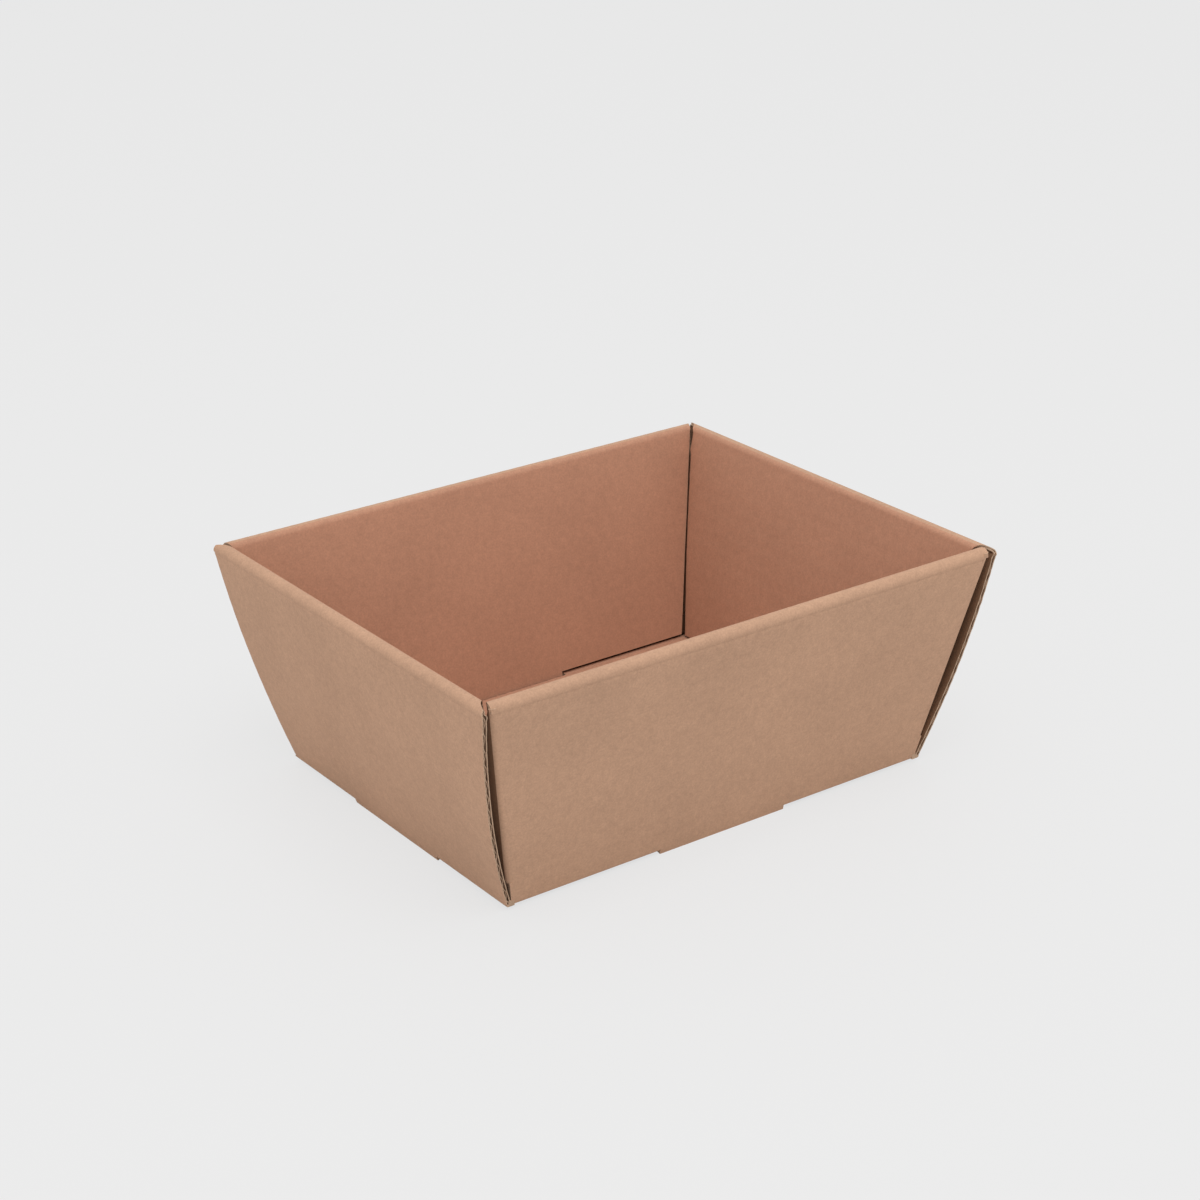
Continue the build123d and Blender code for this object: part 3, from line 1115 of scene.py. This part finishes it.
@dataclass
class Studio:
    """Pale floor, soft lamps and the camera, in metres."""

    background: float = 0.83
    floor_half: float = 4.0
    lens: float = 76.87
    place: tuple[float, float, float] = (-0.51188, -0.72618, 0.44322)
    right: tuple[float, float, float] = (0.81305, -0.58187, -0.01916)
    up: tuple[float, float, float] = (0.24117, 0.30667, 0.92076)
    floor_colour: float = 0.72
    shadow: float = 0.15
    lamps: tuple[Lamp, ...] = (
        Lamp("top", (-0.1, -0.55, 1.5), 1.1, 10.5), Lamp("left", (-1.5, -0.3, 0.45), 1.0, 1.5))

    def make_floor(self) -> None:
        """Lays the floor: an even pale grey where it is seen, with a faint shadow."""
        mesh = bpy.data.meshes.new("floor")
        h = self.floor_half
        mesh.from_pydata([(-h, -h, 0), (h, -h, 0), (h, h, 0), (-h, h, 0)], [], [(0, 1, 2, 3)])
        floor = bpy.data.objects.new("floor", mesh)
        bpy.context.scene.collection.objects.link(floor)
        material = bpy.data.materials.new("studio_floor")
        material.use_nodes = True
        nodes, links = material.node_tree.nodes, material.node_tree.links
        nodes["Principled BSDF"].inputs["Base Color"].default_value = (self.floor_colour,) * 3 + (1.0,)
        path = nodes.new("ShaderNodeLightPath")
        seen = path.outputs["Is Camera Ray"]
        for ray in ("Is Glossy Ray", "Is Transmission Ray"):
            either = nodes.new("ShaderNodeMath")
            either.operation = "MAXIMUM"
            links.new(seen, either.inputs[0])
            links.new(path.outputs[ray], either.inputs[1])
            seen = either.outputs["Value"]
        share = nodes.new("ShaderNodeMath")
        share.operation = "MULTIPLY"
        share.inputs[1].default_value = 1 - self.shadow
        links.new(seen, share.inputs[0])
        even = nodes.new("ShaderNodeEmission")
        even.inputs["Color"].default_value = (self.background,) * 3 + (1.0,)
        mix = nodes.new("ShaderNodeMixShader")
        links.new(share.outputs["Value"], mix.inputs["Fac"])
        links.new(nodes["Principled BSDF"].outputs["BSDF"], mix.inputs[1])
        links.new(even.outputs["Emission"], mix.inputs[2])
        links.new(mix.outputs["Shader"], nodes["Material Output"].inputs["Surface"])
        mesh.materials.append(material)

    def make_light(self) -> None:
        """Sets the world's even light and the soft lamps."""
        world = bpy.data.worlds.new("studio")
        bpy.context.scene.world = world
        world.use_nodes = True
        world.node_tree.nodes["Background"].inputs["Color"].default_value = (self.background,) * 3 + (1.0,)
        for lamp in self.lamps:
            lamp.hang()

    def make_camera(self) -> None:
        """Places the camera."""
        camera = bpy.data.cameras.new("camera")
        camera.lens = self.lens
        camera.sensor_width = 36.0
        holder = bpy.data.objects.new("camera", camera)
        right, up = Vector(self.right), Vector(self.up)
        turn = Matrix((right, up, right.cross(up))).transposed().to_4x4()
        holder.matrix_world = Matrix.Translation(self.place) @ turn
        bpy.context.scene.collection.objects.link(holder)
        bpy.context.scene.camera = holder


def main() -> None:
    """Builds the folded sheet and the studio."""
    bpy.context.scene.view_settings.view_transform = "Standard"
    sizes = TraySizes()
    materials = {kind: finish.build() for kind, finish in FINISHES.items()}
    parts = {
        "floor_panel": Floor(sizes),
        "long_wall_near": LongWall(sizes, -1),
        "long_wall_far": LongWall(sizes, 1),
        "short_wall_left": ShortWall(sizes, -1),
        "short_wall_right": ShortWall(sizes, 1),
    }
    for name, part in parts.items():
        make_piece(name, part.shells(), materials)
    studio = Studio()
    studio.make_floor()
    studio.make_light()
    studio.make_camera()


if __name__ == "__main__":
    logging.basicConfig(level=logging.INFO, format="%(name)s: %(message)s")
    main()
